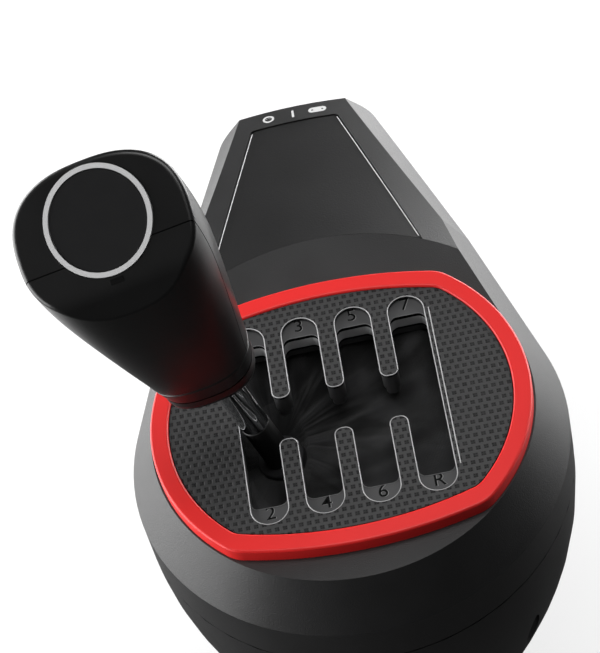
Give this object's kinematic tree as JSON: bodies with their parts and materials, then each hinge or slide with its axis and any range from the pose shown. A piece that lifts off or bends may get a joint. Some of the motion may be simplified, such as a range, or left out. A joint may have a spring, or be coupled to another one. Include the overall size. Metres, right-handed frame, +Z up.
{
  "type": "sim racing gear shifter",
  "caption": "H-pattern gear shifter for driving games, with a numbered gate, tall lever, gaiter and table clamp under its nose.",
  "frame": {"origin": "on the surface it stands on, under the centre of the gate pattern", "axes": "+Z up, the driver sits on the -Y side and the nose with the sockets points to +Y, +X is the driver's right"},
  "size_m": [0.1611, 0.2487, 0.2886],
  "materials": {
    "housing": "fine grain, dark grey",
    "panel": "matte, dark grey",
    "ring_red": "satin red",
    "gate_grey": "woven-look texture, dark grey",
    "gate_body": "satin dark grey",
    "gaiter_cloth": "black cloth",
    "steel": "satin black",
    "cradle_alloy": "cast",
    "chrome": "polished",
    "bronze": "sintered",
    "rubber": "matte",
    "board": "green solder mask",
    "socket_metal": "tinned",
    "socket_black": "gloss black",
    "magnet": "nickel plated",
    "knob_black": "soft-touch black",
    "wheel_black": "black",
    "screws": "zinc plated"
  },
  "bodies": {
    "root": {"top_shell": "housing", "lower_shell": "housing", "nose_panel": "panel", "base_plate": "steel", "base_pad": "rubber", "gate_frame": "gate_body", "guide_plate": "gate_body", "gate_plate": "gate_grey", "trim_ring": "ring_red", "gaiter": "gaiter_cloth", "gimbal_bracket": "steel", "select_bush_front": "bronze", "select_bush_back": "bronze", "select_sensor_board": "board", "circuit_board": "board", "usb_c_socket": "socket_metal", "mini_din_socket": "socket_black", "clamp_frame": "steel", "clamp_bush": "bronze", "nose_pad": "rubber", "case_screw_1": "screws", "case_screw_2": "screws", "case_screw_3": "screws", "case_screw_4": "screws", "case_screw_5": "screws", "case_screw_6": "screws", "gate_screw_1": "screws", "gate_screw_2": "screws", "gate_screw_3": "screws", "gate_screw_4": "screws", "flange_screw_1": "screws", "flange_screw_2": "screws", "bracket_screw_1": "screws", "bracket_screw_2": "screws"},
    "select_cradle": {"select_cradle": "cradle_alloy", "select_pin": "steel", "select_magnet": "magnet", "shift_bush_left": "bronze", "shift_bush_right": "bronze", "shift_sensor_board": "board", "drag_shoe": "rubber", "drag_cushion": "rubber"},
    "lever": {"lever_hub": "steel", "shift_pin": "steel", "shift_magnet": "magnet", "lever_rod": "chrome", "neck_ring": "steel", "knob_collar": "knob_black", "knob_band": "knob_black", "knob_front": "knob_black", "knob_back": "knob_black", "knob_core": "cradle_alloy", "cap_ring": "chrome", "cap_disc": "socket_black"},
    "clamp_screw": {"clamp_screw": "steel", "clamp_wheel": "wheel_black"},
    "clamp_jaw": {"clamp_jaw": "steel", "jaw_pad": "rubber"}
  },
  "joints": [
    {"name": "gate_select", "type": "hinge", "parent": "root", "child": "select_cradle", "pos_m": [0, 0, 0.0313], "axis": [0, 1, 0], "range_deg": [0, 25.99], "deforming": ["gaiter"]},
    {"name": "gear_shift", "type": "hinge", "parent": "select_cradle", "child": "lever", "pos_m": [-0.01444, 0, 0.09386], "axis": [0.9744, 0, 0.2249], "range_deg": [-20.8, 20.8], "deforming": ["gaiter"]},
    {"name": "clamp_turn", "type": "hinge", "parent": "root", "child": "clamp_screw", "pos_m": [0, 0.099, 0.05], "axis": [0, 0, 1], "range_deg": [0, 3600]},
    {"name": "jaw_climb", "type": "slide", "parent": "root", "child": "clamp_jaw", "axis": [0, 0, 1], "range_m": [0, 0.03]}
  ],
  "couplings": [
    {"joint": "clamp_turn", "follows": "jaw_climb", "rad_per_m": 2094.4}
  ]
}
